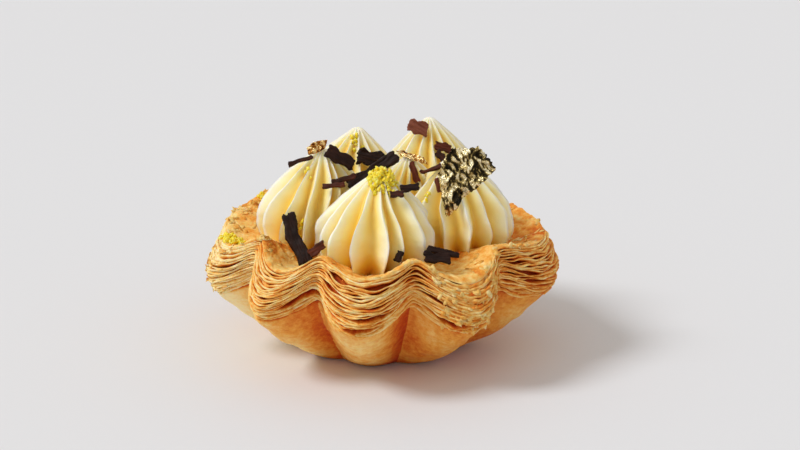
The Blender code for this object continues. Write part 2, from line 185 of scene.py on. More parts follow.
# Where leaves have parted: direction in degrees, half width in degrees, share of the band from the
# shoulder to the rim, and how far they open.
PARTINGS = (
    (242, 8, 0.31, 2.3),
    (239, 4, 0.18, 1.6),
    (232, 6, 0.58, 0.8),
    (264, 7, 0.15, 2.8),
    (267, 6, 0.36, 1.5),
    (254, 4, 0.26, 1.3),
    (252, 4, 0.66, 1.2),
    (255, 3, 0.88, 1.3),
    (268, 6, 0.86, 1.1),
    (284, 4, 0.90, 0.8),
    (284, 4, 0.82, 1.0),
    (284, 4, 0.74, 1.0),
    (284, 4, 0.66, 0.9),
    (294, 5, 0.17, 2.6),
    (290, 4, 0.52, 1.0),
    (331, 6, 0.54, 1.0),
    (336, 7, 0.36, 1.1),
    (329, 4, 0.74, 1.2),
    (204, 6, 0.62, 1.4),
    (199, 5, 0.40, 0.6),
    (100, 9, 0.50, 1.0),
    (150, 8, 0.70, 0.9),
    (60, 9, 0.35, 0.9),
    (25, 8, 0.66, 0.8),
)

# Lobes whose leaves have broken away in flakes: direction and half width in degrees.
RAGGED = ((304, 14), (190, 12), (128, 10), (40, 12))

# Painted side shade: the pastry is painted darker towards its right, away from the light, and paler
# on its lit left: direction, half width in degrees and how much.
SIDE_SHADE = ((335, 70, 0.08), (190, 26, -0.18), (302, 22, 0.03))
PALE_SLOPE = (300, 25, 0.13)

# The dish has flakes on it beyond this radius.
FLAKY_BEYOND = 26.0

# Piped kisses: place of its foot, largest radius, height of its tip, how far the tip leans, its
# twist in degrees from tip to foot, and the seed that spaces its fins.
KISSES = {
    "cream_front": ((-2.0, -18.6), 13.5, 45.6, (1.9, 1.4), 14, 3),
    "cream_left": ((-15.4, -4.0), 13.2, 47.2, (2.0, 0.2), -10, 5),
    "cream_right": ((17.2, -5.0), 13.2, 45.8, (-0.6, 0.4), 12, 8),
    "cream_back_left": ((-8.4, 15.8), 13.0, 47.2, (2.6, -1.2), -12, 13),
    "cream_back_right": ((11.4, 14.6), 13.4, 49.8, (-0.4, -0.6), 10, 21),
    "cream_centre": ((5.4, 1.2), 10.6, 44.0, (0.6, 0.2), -14, 34),
}

# The fins of a kiss: their number and depth, how round they are, how they sway and ruffle, and the
# shares of its height between which the painted groove shade begins.
FINS = 14
FIN_DEPTH = 0.34
FIN_ROUNDING = 0.95
SWAY = 0.65
RUFFLE = 0.14
GROOVE_SHADE_START = (0.02, 0.2)

# A kiss from its tip to its foot: its dome, its blunt tip and the curve in which it leans.
DOME = 0.7
TIP_PULL = 1.0
BLUNT_TIP = 0.06
LEAN_CURVE = 1.5

# Where a kiss meets up to five neighbours and the dish, and how near them it is painted golden as
# painted shade.
WALLS = 5
SIDE_GAP = 0.1
PRESSED_SOFTNESS = 0.9
PRESSED_DEPTH = 1.6
FOOT_SINK = 0.3
NOOK_SHADE_HEIGHT = 4.5

# How the mesh of a kiss is divided, and the share of its rows that close its sole.
POINTS_PER_FIN = 24
KISS_LEVELS = 116
SOLE_SHARE = 0.07

# Zest: the piece under it, the middle of the patch, its spread, how many grains and how many deep.
ZEST = (
    ("cream_front", (0.4, -18.6), 3.5, 150, 1.9),
    ("cream_left", (-17.6, -13.2), 0.7, 5, 0.4),
    ("cream_left", (-16.4, -8.4), 0.7, 4, 0.3),
    ("cream_back_left", (-6.2, 11.6), 1.4, 8, 0.4),
    ("cream_right", (10.0, -10.6), 0.9, 9, 0.5),
    ("pastry_shell", (-34.0, -8.6), 3.0, 64, 1.4),
    ("pastry_shell", (-28.6, 18.4), 1.0, 10, 0.5),
)

# The size of a grain, and the turn in radians from one grain to the next.
ZEST_SIZE = 0.9
GOLDEN_TURN = 2.4

# The height from which rays fall on the dish and the cream.
RAY_START = 60

# Loose flakes: how baked they are, and how many to the square millimetre on the dish and on leaves.
FLAKE_BAKE = (0.12, 0.38)
FLAKES_ON_DISH = 0.5
FLAKES_ON_LEAVES = 0.3

# How much redder than nearly black the thin or broken shavings are.
WARM_SHAVINGS = {
    "flake_back_right": 0.95,
    "flake_right_upper": 0.6,
    "flake_right_lower": 0.35,
    "strip_centre_steep": 0.7,
    "strip_centre_long": 0.5,
    "stick_right": 0.75,
    "stick_middle_upper": 0.4,
    "stick_middle_lower": 0.5,
    "flake_front_tip": 0.4,
    "shaving_left_tip": 0.35,
    "flake_gap_left": 0.55,
    "slab_left": 0.2,
}

# How red all other shavings are.
COOL_SHAVING = 0.12

# How much fuller a shaving is than its solid, whose corners its ragged sides cut off, and the
# smallest cell of its mesh.
SHAVING_SWELL = 0.11
SHAVING_CELL = 0.1

# Folds of the crumpled gold leaf: how deep, how far apart and a shift of their seed.
FOLDS = ((0.5, 3.4, 0), (0.22, 1.7, 4), (0.06, 0.8, 1))
FOIL_THICKNESS = 0.12

# The large gold leaf is amber only this far up from its lowest point, and the small ones all over.
AMBER_HEIGHT = 1.7
ALL_AMBER = 100.0

# How far inside the CAD model's box the toppings stay.
TOPPING_MARGIN = 0.08

# The light: a soft sun from the upper left and an even surround, over a pale table.
SUN_WAY = (-0.62, -0.12, 0.70)
SUN_STRENGTH = 1.88
SUN_SPREAD = 20
SUN_COLOUR = (0.93, 0.96, 1.0)
SURROUND_COLOUR = (1.0, 0.965, 0.92, 1.0)
SURROUND_STRENGTH = 0.6
TABLE_COLOUR = (0.765, 0.765, 0.78, 1.0)
TABLE_HALF = 2000.0
TABLE_GAP = 0.05


class Link:
    """A node's output, with the arithmetic that its numbers take part in."""

    def __init__(self, net, socket):
        self.net = net
        self.socket = socket

    def other(self, name):
        """Another output of the same node."""
        return Link(self.net, self.socket.node.outputs[name])

    def math(self, operation, *values):
        return self.net.math(operation, self, *values)

    def __add__(self, value):
        return self.math("ADD", value)

    def __sub__(self, value):
        return self.math("SUBTRACT", value)

    def __rsub__(self, value):
        return self.net.math("SUBTRACT", value, self)

    def __mul__(self, value):
        return self.math("MULTIPLY", value)

    def __truediv__(self, value):
        return self.math("DIVIDE", value)

    def __rtruediv__(self, value):
        return self.net.math("DIVIDE", value, self)

    def __pow__(self, value):
        return self.math("POWER", value)

    __radd__ = __add__
    __rmul__ = __mul__

    def clip(self):
        """Held between 0 and 1."""
        return self.net.add("ShaderNodeClamp", {}, {"Value": self})

    def smooth(self, low, high):
        """0 below low and 1 above high, with a smooth step between."""
        sockets = {"Value": self, "From Min": low, "From Max": high}
        return self.net.add("ShaderNodeMapRange", {"interpolation_type": "SMOOTHSTEP"}, sockets)


class Net:
    """A node tree in the making, of a material or of Geometry Nodes."""

    def __init__(self, tree):
        self.tree = tree

    def add(self, kind, settings, sockets, output=0):
        """A new node: first its settings, then the values or links of its sockets."""
        node = self.tree.nodes.new(kind)
        for name, value in settings.items():
            if name == "stops":
                self.set_stops(node.color_ramp.elements, value)
            else:
                setattr(node, name, value)
        for name, value in sockets.items():
            if isinstance(value, Link):
                self.tree.links.new(value.socket, node.inputs[name])
            else:
                node.inputs[name].default_value = value
        return Link(self, node.outputs[output]) if node.outputs else node

    @staticmethod
    def set_stops(elements, stops):
        while len(elements) < len(stops):
            elements.new(1.0)
        for element, (place, colour) in zip(elements, stops):
            element.position = place
            element.color = colour

    def math(self, operation, *values):
        return self.add("ShaderNodeMath", {"operation": operation}, dict(enumerate(values)))

    def vector(self, operation, *values, output=0):
        return self.add("ShaderNodeVectorMath", {"operation": operation}, dict(enumerate(values)), output)

    def scaled(self, vector, factor):
        return self.add("ShaderNodeVectorMath", {"operation": "SCALE"}, {0: vector, "Scale": factor})

    def split(self, vector):
        """The three numbers of a vector."""
        x = self.add("ShaderNodeSeparateXYZ", {}, {"Vector": vector})
        return x, x.other("Y"), x.other("Z")

    def join(self, x, y, z):
        return self.add("ShaderNodeCombineXYZ", {}, {"X": x, "Y": y, "Z": z})

    def noise(self, place, size, detail=3.0, rough=0.5, stretch=None):
        """Noise from 0 to 1 with bumps about size millimetres across."""
        if stretch:
            place = self.vector("MULTIPLY", place, stretch)
        sockets = {"Vector": place, "Scale": 1 / (size * MM), "Detail": detail, "Roughness": rough}
        return self.add("ShaderNodeTexNoise", {}, sockets)

    def ramp(self, value, *stops):
        """A colour from (place, colour) stops."""
        settings = {"stops": [(place, tint(colour)) for place, colour in stops]}
        return self.add("ShaderNodeValToRGB", settings, {"Fac": value})

    def mix(self, factor, first, second):
        """From the first colour to the second as the factor goes from 0 to 1."""
        first, second = (tint(c) if isinstance(c, str) else c for c in (first, second))
        settings = {"data_type": "RGBA"}
        return self.add("ShaderNodeMix", settings, {0: factor, 6: first, 7: second}, 2)

    def geometry_of(self, thing):
        """The shape of an object that a tree is given."""
        return self.add("GeometryNodeObjectInfo", {}, {"Object": thing}, "Geometry")

    def position(self):
        return self.add("GeometryNodeInputPosition", {}, {})

    def named(self, label, kind="FLOAT"):
        """The values stored under a name."""
        return self.add("GeometryNodeInputNamedAttribute", {"data_type": kind}, {"Name": label})

    def stored(self, geometry, label, value, kind="FLOAT", domain="POINT"):
        """A shape with values stored under a name."""
        settings = {"data_type": kind, "domain": domain}
        sockets = {"Geometry": geometry, "Name": label, "Value": value}
        return self.add("GeometryNodeStoreNamedAttribute", settings, sockets)

    def moved(self, geometry, place):
        """A shape with its points at new places."""
        return self.add("GeometryNodeSetPosition", {}, {"Geometry": geometry, "Position": place})

    def dropped(self, ground, x, y):
        """Where a ray straight down at x and y, in millimetres, meets the ground."""
        above = self.join(x * MM, y * MM, RAY_START * MM)
        sockets = {"Target Geometry": ground, "Source Position": above}
        sockets.update({"Ray Direction": (0, 0, -1), "Ray Length": 1.0})
        return self.add("GeometryNodeRaycast", {}, sockets, "Hit Position")

    def draw(self, low, high, seed, **more):
        """A random number from low to high for each point or instance."""
        sockets = {"Min": low, "Max": high, **more, "Seed": seed}
        return self.add("FunctionNodeRandomValue", {"data_type": "FLOAT"}, sockets, "Value")


def tint(colour):
    """A screen colour such as #F2D21E as linear light."""
    parts = [int(colour[i:i + 2], 16) / 255 for i in (1, 3, 5)]
    return (*[c / 12.92 if c <= 0.04045 else ((c + 0.055) / 1.055) ** 2.4 for c in parts], 1.0)


def material_net(name):
    """A new material with an empty net."""
    made = bpy.data.materials.new(name)
    made.use_nodes = True
    made.node_tree.nodes.clear()
    return made, Net(made.node_tree)


def finish_material(net, sockets, bump=None, bump_depth=0.1):
    """Ends a material's net in a Principled shader, with a bump of a depth in millimetres."""
    if bump:
        heights = {"Height": bump, "Distance": bump_depth * MM, "Strength": 1.0}
        sockets["Normal"] = net.add("ShaderNodeBump", {}, heights)
    shader = net.add("ShaderNodeBsdfPrincipled", {}, sockets)
    net.add("ShaderNodeOutputMaterial", {}, {"Surface": shader})


def attribute(net, name, output="Fac"):
    return net.add("ShaderNodeAttribute", {"attribute_name": name}, {}, output)


def soft(weight, radius, depth):
    """Sockets for light that spreads under a surface, with a depth in millimetres."""
    return {"Subsurface Weight": weight, "Subsurface Radius": radius, "Subsurface Scale": depth * MM}


def object_place(net):
    return net.add("ShaderNodeTexCoord", {}, {}, "Object")


def baked_pastry(name, lines, blisters, relief):
    """Puff pastry: pale on its edges, orange where it browned, and dark red in its gaps and core, with
    painted shade also darkening its creases and the side away from the light.

    Lines run round the shell with its leaves, blisters are uneven spots: each has a share in the
    colour, and the relief is how deep both go in millimetres.
    """
    made, net = material_net(name)
    place = object_place(net)
    layered = attribute(net, "layered", "Vector")
    patches = net.noise(place, 9.0, 3.0)
    streaks = net.noise(layered, 0.9, 4.0, 0.65, (0.3, 0.3, 2.2))
    spots = net.noise(place, 1.3, 5.0, 0.66)
    # The bake value also carries painted shade: gaps, core, creases and the side away from the light are
    # painted darker.
    bake = attribute(net, "bake") + (patches - 0.5) * 0.4
    bake = bake + (streaks - 0.5) * lines + (spots - 0.5) * blisters
    colour = net.ramp(
        bake.clip(),
        (0.0, "#FFE6AA"),
        (0.2, "#FBCF7A"),
        (0.4, "#F0A440"),
        (0.6, "#DA7018"),
        (0.8, "#C44408"),
        (1.0, "#962A02"),
    )
    rough = 0.5 + attribute(net, "bake") * 0.3
    sockets = {"Base Color": colour, "Roughness": rough, "Specular IOR Level": 0.25}
    sockets.update(soft(0.18, (1.0, 0.45, 0.15), 0.8))
    finish_material(net, sockets, streaks * lines + spots * blisters, relief)
    return made


def lemon_cream():
    """Piped lemon cream: ivory along its ridges, painted golden down in its grooves and nooks as painted
    shade.
    """
    made, net = material_net("lemon_cream")
    place = object_place(net)
    cloud = net.noise(place, 7.0, 2.0)
    groove = attribute(net, "groove")
    nook = attribute(net, "nook")
    depth = (groove * 0.66 + nook * 0.26 + (cloud - 0.5) * 0.4).clip()
    colour = net.ramp(
        depth,
        (0.0, "#FFF9E2"),
        (0.2, "#FDF1C6"),
        (0.45, "#FAE492"),
        (0.7, "#F5CC48"),
        (0.88, "#F0B02C"),
        (1.0, "#E29018"),
    )
    grain = net.noise(place, 0.6, 3.0)
    sockets = {"Base Color": colour, "Roughness": 0.42, "Specular IOR Level": 0.4}
    sockets.update(soft(0.5, (1.0, 0.85, 0.35), 1.8))
    finish_material(net, sockets, grain, 0.04)
    return made


def dark_chocolate():
    """Shaved chocolate: nearly black where it was scraped, redder and paler where it is thin."""
    made, net = material_net("dark_chocolate")
    along = attribute(net, "grain", "Vector")
    fibres = net.noise(along, 0.45, 4.0, 0.6, (0.12, 1, 1))
    patches = net.noise(along, 1.6, 3.0)
    warmth = attribute(net, "warmth")
    level = (warmth + (fibres - 0.5) * 0.5 + (patches - 0.5) * 0.4).clip()
    colour = net.ramp(level, (0.0, "#180A05"), (0.35, "#341A10"), (0.7, "#662E1C"), (1.0, "#8E5340"))
    rough = 0.62 - fibres * 0.15
    sockets = {"Base Color": colour, "Roughness": rough, "Specular IOR Level": 0.18}
    finish_material(net, sockets, fibres, 0.3)
    return made


def gold_leaf():
    """Crumpled gold leaf with painted reflections: dark in most of its folds, with bright edges."""
    made, net = material_net("gold_leaf")
    place = object_place(net)
    creases = net.noise(place, 0.8, 4.0, 0.7)
    # Painted reflection: the glint worked out from the folds' slopes sets how dark or bright the leaf is.
    level = (attribute(net, "glint") + (creases - 0.5) * 1.1).clip()
    painted_reflection = net.ramp(
        level, (0.0, "#1A140A"), (0.32, "#443718"), (0.5, "#8F7A45"), (0.7, "#DCC486"), (0.9, "#FFF4CE")
    )
    amber = net.ramp(level, (0.0, "#7A3A0C"), (0.4, "#C98A34"), (0.75, "#FFE3A4"))
    colour = net.mix(attribute(net, "amber"), painted_reflection, amber)
    sockets = {"Base Color": colour, "Roughness": 0.25, "Metallic": 0.85}
    finish_material(net, sockets, creases, 0.4)
    return made


def lemon_zest():
    made, net = material_net("lemon_zest")
    place = object_place(net)
    spots = net.noise(place, 0.7, 3.0)
    colour = net.ramp(spots, (0.3, "#F6C200"), (0.5, "#FFE426"), (0.7, "#FFF48A"))
    sockets = {"Base Color": colour, "Roughness": 0.35, **soft(0.4, (1.0, 0.8, 0.1), 0.5)}
    finish_material(net, sockets, net.noise(place, 0.25, 2.0), 0.08)
    return made


def studio_white():
    made, net = material_net("studio_white")
    sockets = {"Base Color": TABLE_COLOUR, "Roughness": 0.6, "Specular IOR Level": 0.2}
    finish_material(net, sockets)
    return made


def geometry_net(name, inputs):
    """A Geometry Nodes tree with named inputs, as its net and the links of those inputs."""
    tree = bpy.data.node_groups.new(name, "GeometryNodeTree")
    for label, kind in inputs.items():
        tree.interface.new_socket(label, in_out="INPUT", socket_type="NodeSocket" + kind)
    tree.interface.new_socket("Geometry", in_out="OUTPUT", socket_type="NodeSocketGeometry")
    net = Net(tree)
    given = tree.nodes.new("NodeGroupInput")
    return net, {label: Link(net, given.outputs[label]) for label in inputs}


def end_tree(net, geometry, material):
    """Ends a tree: its instances made real, its material set."""
    real = net.add("GeometryNodeRealizeInstances", {}, {"Geometry": geometry})
    painted = net.add("GeometryNodeSetMaterial", {}, {"Geometry": real, "Material": material})
    net.add("NodeGroupOutput", {}, {"Geometry": painted})


def placed(name, data):
    """A new object in the scene."""
    thing = bpy.data.objects.new(name, data)
    bpy.context.scene.collection.objects.link(thing)
    return thing


def settle(host):
    """Makes a plain mesh of what an object's modifiers make, and removes them."""
    graph = bpy.context.evaluated_depsgraph_get()
    host.data = bpy.data.meshes.new_from_object(host.evaluated_get(graph))
    host.modifiers.clear()


def grow(name, tree, values):
    """A new object with the plain mesh that a tree makes of its inputs."""
    host = placed(name, bpy.data.meshes.new(name))
    modifier = host.modifiers.new("grow", "NODES")
    modifier.node_group = tree
    for item in tree.interface.items_tree:
        if item.in_out == "INPUT":
            modifier[item.identifier] = values[item.name]
    settle(host)
    host.data.name = name
    return host


def face_outwards(piece):
    """Points a closed piece's faces outwards and shades it smooth."""
    mesh = bmesh.new()
    mesh.from_mesh(piece.data)
    bmesh.ops.recalc_face_normals(mesh, faces=mesh.faces[:])
    mesh.to_mesh(piece.data)
    mesh.free()
    piece.data.shade_smooth()
    return piece


def held(points, margin=0.0):
    """Points in millimetres, kept inside the CAD model's box."""
    low, high = (np.array(corner) / MM for corner in CAD_BOX)
    return np.clip(points, low + margin, high - margin)


def mesh_object(name, points, faces, material, **values):
    """A smooth piece from points in millimetres, with a number at each point for each named value."""
    data = bpy.data.meshes.new(name)
    data.from_pydata((held(points) * MM).tolist(), [], faces)
    data.materials.append(material)
    for label, numbers in values.items():
        store(data, label, numbers)
    return face_outwards(placed(name, data))


def store(data, label, numbers):
    numbers = np.asarray(numbers, np.float32)
    kind = "FLOAT_VECTOR" if numbers.ndim == 2 else "FLOAT"
    data.attributes.new(label, kind, "POINT").data.foreach_set(
        "vector" if numbers.ndim == 2 else "value", numbers.ravel()
    )


def ripple(points, size, seed, waves=22):
    """Smooth noise, mostly from -1 to 1, with bumps about size across, at an array of points."""
    draw = np.random.default_rng(seed)
    ways = draw.normal(size=(waves, points.shape[-1]))
    ways *= (draw.uniform(0.6, 1.5, waves) / np.linalg.norm(ways, axis=1))[:, None]
    phases = draw.uniform(0, 2 * math.pi, waves)
    return np.sin(points @ ways.T * (math.pi / size) + phases).sum(1) * math.sqrt(1 / waves)


def ripples(points, layers):
    """Several ripples together."""
    return sum(strength * ripple(points, size, seed) for strength, size, seed in layers)


def smooth_step(value, low, high):
    share = np.clip((value - low) / (high - low), 0, 1)
    return share * share * (3 - 2 * share)


def spread(value, angle):
    """A number or an array, as an array with a value for each angle."""
    return np.broadcast_to(np.asarray(value, float), angle.shape)


def lobe_at(angle, share):
    """At angles: the lobe's number, the place across it, and the bulge, 0 in a crease and 1 mid-lobe."""
    share = spread(share, angle)
    creases = CREASES_AT_FOOT + (CREASES_AT_RIM - CREASES_AT_FOOT) * share[:, None]
    turned = (np.degrees(angle) - creases[:, 0]) % 360 + creases[:, 0]
    lobe = (turned[:, None] + 1e-9 >= creases).sum(1) - 1
    edges = np.hstack((creases, creases[:, :1] + 360))
    rows = np.arange(len(angle))
    across = (turned - edges[rows, lobe]) / (edges[rows, lobe + 1] - edges[rows, lobe])
    soft = CREASE_SOFTNESS + CREASE_ROUNDING * share
    bulge = (np.hypot(np.sin(math.pi * across), soft) - soft) / (np.hypot(1, soft) - soft)
    return lobe, across, bulge


def bezier(controls, share):
    """Points on the Bezier curve of some (radius, height) points, for an array of shares."""
    points = [np.array(c, float) for c in controls]
    while len(points) > 1:
        points = [a + (b - a) * share[:, None] for a, b in zip(points, points[1:])]
    return points[0]


def shell_section(curve, share, angle, turn_share, rim_share):
    """(radius, height) of the shell where one of its section curves meets each angle."""
    share = spread(share, angle)
    lobe, across, bulge = lobe_at(angle, turn_share)
    following = (lobe + 1) % len(CREASE_LIFT)
    crease_reach = CREASE_REACH[lobe] * (1 - across) + CREASE_REACH[following] * across
    crease_lift = CREASE_LIFT[lobe] * (1 - across) + CREASE_LIFT[following] * across
    lobe_lift = LOBE_LIFT[lobe] + LOBE_CLIMB[lobe] * (across - 0.5)
    rim_share = spread(rim_share, angle)[:, None]
    low = bezier([c[0] for c in curve], share) + np.stack((crease_reach, crease_lift), 1) * rim_share
    high = bezier([c[1] for c in curve], share) + np.stack((LOBE_REACH[lobe], lobe_lift), 1) * rim_share
    return low + (high - low) * bulge[:, None]


def wall_section(share, angle):
    return shell_section(WALL, share, angle, SHOULDER_TURN * share, SHOULDER_RIM * share**2)


def band_section(share, angle):
    turn_share = SHOULDER_TURN + (1 - SHOULDER_TURN) * share
    return shell_section(BAND, share, angle, turn_share, SHOULDER_RIM + (1 - SHOULDER_RIM) * share)


def dish_section(share, angle):
    return shell_section(DISH, share, angle, 1.0, (1 - share) ** 2)


def with_normal(section, share, angle, step=0.01):
    """A section's points at each angle with the unit way up along it and the unit way out of it."""
    ahead, behind = section(share + step, angle), section(share - step, angle)
    way = ahead - behind
    way /= np.linalg.norm(way, axis=1)[:, None]
    return (ahead + behind) / 2, way, np.stack((way[:, 1], -way[:, 0]), 1)


def in_space(section, angle):
    """(radius, height) pairs as points in space."""
    radius, height = section[:, 0], section[:, 1]
    return np.stack((radius * np.cos(angle), radius * np.sin(angle), height), 1)


def tube(rings, closed):
    """Faces over rings of as many points each. A closed tube's last ring joins its first."""
    sides = len(rings[0])
    faces = []
    pairs = list(zip(range(len(rings)), range(1, len(rings))))
    if closed:
        pairs.append((len(rings) - 1, 0))
    for a, b in pairs:
        for i in range(sides):
            j = (i + 1) % sides
            faces.append((a * sides + i, a * sides + j, b * sides + j, b * sides + i))
    return faces


def round_angles():
    return np.arange(COLUMNS) * (2 * math.pi / COLUMNS)


def angle_gap(angle, degrees):
    """How far angles are from a direction, in degrees."""
    return np.abs((np.degrees(angle) - degrees + 180) % 360 - 180)


def around(angle, degrees, half):
    """1 in a direction, fading away to 0 on both sides."""
    return np.exp(-((angle_gap(angle, degrees) / half) ** 2))


def raggedness(angle):
    """1 where leaves have broken away in flakes, 0 where they lie whole."""
    most = np.zeros_like(angle)
    for degrees, half in RAGGED:
        most = np.maximum(most, 1 - smooth_step(angle_gap(angle, degrees), 0.5 * half, 1.3 * half))
    return most


def side_shade(angle):
    """How much darker the pastry is painted at each angle: painted shade on its right, away from the
    light, and painted light on its lit left.
    """
    return sum(much * around(angle, degrees, half) for degrees, half, much in SIDE_SHADE)


def parted(share, angle):
    """How far a leaf moves up or down the band where leaves have parted."""
    moved = np.zeros_like(angle)
    for degrees, half, where, opening in PARTINGS:
        side = 1.0 if share > where else -1.0
        fade = math.exp(-abs(share - where) / PARTING_FADE)
        moved += side * 0.5 * opening * around(angle, degrees, half) * fade / BAND_LENGTH
    return moved


def along_band(angle, height):
    """Places round the shell at a height along its band, with which lines run round the shell."""
    height = spread(height, angle)
    return np.stack((BAND_RADIUS * np.cos(angle), BAND_RADIUS * np.sin(angle), height), 1)


def leaf_share(number, angle):
    """Where on the band a leaf lies at each angle: 0 at the shoulder and 1 at the rim."""
    centre = (number + 0.5) / LEAVES
    straighter = min(1.0, 6 * (1 - centre))
    wander = ripples(along_band(angle, 2.0 * number), LEAF_WANDER) * straighter
    return np.clip(centre + parted(centre, angle) + wander / LEAVES, 0.0, 1.0)


def pace_along(section, share, angle, step=0.01):
    """How many millimetres a section goes at each angle while its share goes from 0 to 1."""
    ahead, behind = section(share + step, angle), section(share - step, angle)
    return np.linalg.norm(ahead - behind, axis=1) / (2 * step)


def pastry_leaf(number):
    """One thin leaf of the cut edge: its rings of points, their bake with painted shade and their place
    on the band.
    """
    angle = round_angles()
    own = along_band(angle, 40.0 * number)
    bundle = along_band(angle, 1.6 * number)
    ragged = raggedness(angle)
    share = leaf_share(number, angle)
    edge, up, out = with_normal(band_section, share, angle)
    pace = pace_along(band_section, share, angle)
    gap = (leaf_share(number + 1, angle) - leaf_share(number - 1, angle)) / 2 - 1 / LEAVES
    open_gap = smooth_step(gap * pace, 0.08, 0.45)
    broken = smooth_step(ripples(own, LEAF_BREAKS), 0.5, 0.9) * BREAK_DEPTH * (number < LEAVES - 2)
    reach = ripples(own, LEAF_REACH) + ripples(bundle, BUNDLE_REACH) + ragged * ripples(own, RAGGED_REACH)
    reach = np.minimum(reach - broken, REACH_LIMIT)
    half = LEAF_FILL * pace / LEAVES * (1 + 0.45 * ragged - 0.3 * open_gap)
    half = half * np.clip(1 + ripples(own, LEAF_THICKNESS), 0.5, 1.5)
    curl = ripples(own, LEAF_CURL)
    tone = ripples(own, LEAF_TONE)
    rings, bakes_and_shades, layered = [], [], []
    for inward, side in LEAF_SECTION:
        depth = -inward * LEAF_DEPTH
        lift = side * half + curl * math.exp(-depth / 0.8)
        section = edge + out * (reach - depth)[:, None] + up * lift[:, None]
        rings.append(in_space(section, angle))
        # Painted shade: deeper into the gaps between leaves, and more where leaves have parted, the
        # pastry is painted darker; the painted side shade is added too.
        deep = (1 - math.exp(-depth / 0.7)) * (1 - 0.3 * ragged)
        gap_shade = (GAP_SHADE + PARTED_SHADE * open_gap) * deep
        bakes_and_shades.append(LEAF_BAKE + side_shade(angle) + gap_shade + tone * (1 - deep))
        layered.append(along_band(angle, share * BAND_LENGTH + lift))
    return rings, bakes_and_shades, layered


def pastry_leaves(name, numbers, pastry):
    """Some leaves of the cut edge, as one piece."""
    points, faces, bakes_and_shades, layered = [], [], [], []
    outer = np.array([depth > -0.1 for depth, _ in LEAF_SECTION], float)
    ragged = np.outer(outer, raggedness(round_angles())).ravel()
    for number in numbers:
        rings, baked, places = pastry_leaf(number)
        start = sum(len(p) for p in points)
        faces += [tuple(start + i for i in face) for face in tube(rings, True)]
        points += rings
        bakes_and_shades += baked
        layered += places
    values = {"bake": np.hstack(bakes_and_shades), "flaky": np.tile(ragged, len(numbers))}
    values["layered"] = np.vstack(layered) * MM
    return mesh_object(name, np.vstack(points), faces, pastry, **values)


def capped(rings, low, high):
    """Points and faces of rings closed by a point at each end."""
    sides = len(rings[0])
    points = np.vstack((*rings, low, high))
    bottom, top = len(points) - 2, len(points) - 1
    last = (len(rings) - 1) * sides
    faces = tube(rings, False)
    for i in range(sides):
        j = (i + 1) % sides
        faces.append((bottom, j, i))
        faces.append((top, last + i, last + j))
    return points, faces


def pastry_wall(pastry):
    """The smooth outside of the shell under its cut edge, and the core behind the leaves, painted dark as
    shade seen through the gaps.
    """
    angle = round_angles()
    _, _, bulge = lobe_at(angle, 0.0)
    foot = FOOT_EDGE[0][0] + (FOOT_EDGE[1][0] - FOOT_EDGE[0][0]) * bulge
    flat = np.zeros_like(angle)
    rings = [in_space(np.stack((foot * share, flat), 1), angle) for share in SOLE_SHARES]
    bakes_and_shades = [flat + SOLE_BAKE] * len(SOLE_SHARES)
    layered = [along_band(angle, -WALL_LENGTH)] * len(SOLE_SHARES)
    for share in np.linspace(0, 1, WALL_RINGS):
        section, _, out = with_normal(wall_section, share, angle)
        place = in_space(section, angle)
        _, across, bulge = lobe_at(angle, SHOULDER_TURN * share)
        fade = min(1.0, 6 * share)
        track = along_band(angle, (share - 1) * WALL_LENGTH)
        wrinkle = ripples(track * (0.3, 0.3, 1.0), WALL_WRINKLES) * (0.2 + share**2)
        offset = fade * (ripples(place, WALL_SWELL) + wrinkle) - 0.15
        rings.append(in_space(section + out * offset[:, None], angle))
        edge = smooth_step(share, 0.12, 0.0) * FOOT_BAKE
        # Painted shade: the creases are painted darker, more on the far side of each lobe, away from the
        # light.
        fold = (1 - bulge) ** 1.3 * (0.3 + 0.7 * across)
        # Painted side shade, darker on the right and paler on the lit left, plus random tone.
        tone = WALL_SIDE_SHADE * side_shade(angle) + ripples(place, WALL_TONE)
        bakes_and_shades.append(WALL_BAKE + CREASE_SHADE * fold + edge + tone)
        layered.append(track)
    # Painted shade: the core behind the leaves is painted dark, standing in for the shade seen through
    # their gaps.
    for share, inset in CORE_INSETS:
        section, _, out = with_normal(band_section, share, angle)
        rings.append(in_space(section - out * inset, angle))
        bakes_and_shades.append(flat + CORE_SHADE)
        layered.append(along_band(angle, share * BAND_LENGTH))
    points, faces = capped(rings, (0, 0, 0), (0, 0, CORE_HOLLOW))
    bakes_and_shades = np.append(np.hstack(bakes_and_shades), (SOLE_BAKE, CORE_TOP_SHADE))
    layered = np.vstack((*layered, (0, 0, 0), (0, 0, 0))) * MM
    return mesh_object("pastry_wall", points, faces, pastry, bake=bakes_and_shades, layered=layered)


def torn_sheets(place, size, step, seed):
    """Relief of broken sheets: terraces, and how near each point is to a sheet's torn edge."""
    level = (ripple(place, size, seed) + 0.35 * ripple(place, size / 3, seed + 1)) / step
    whole = np.floor(level)
    part = level - whole
    height = whole + smooth_step(part, 0.0, 0.22)
    return height * step, 1 - smooth_step(np.abs(part - 0.16), 0.0, 0.2)


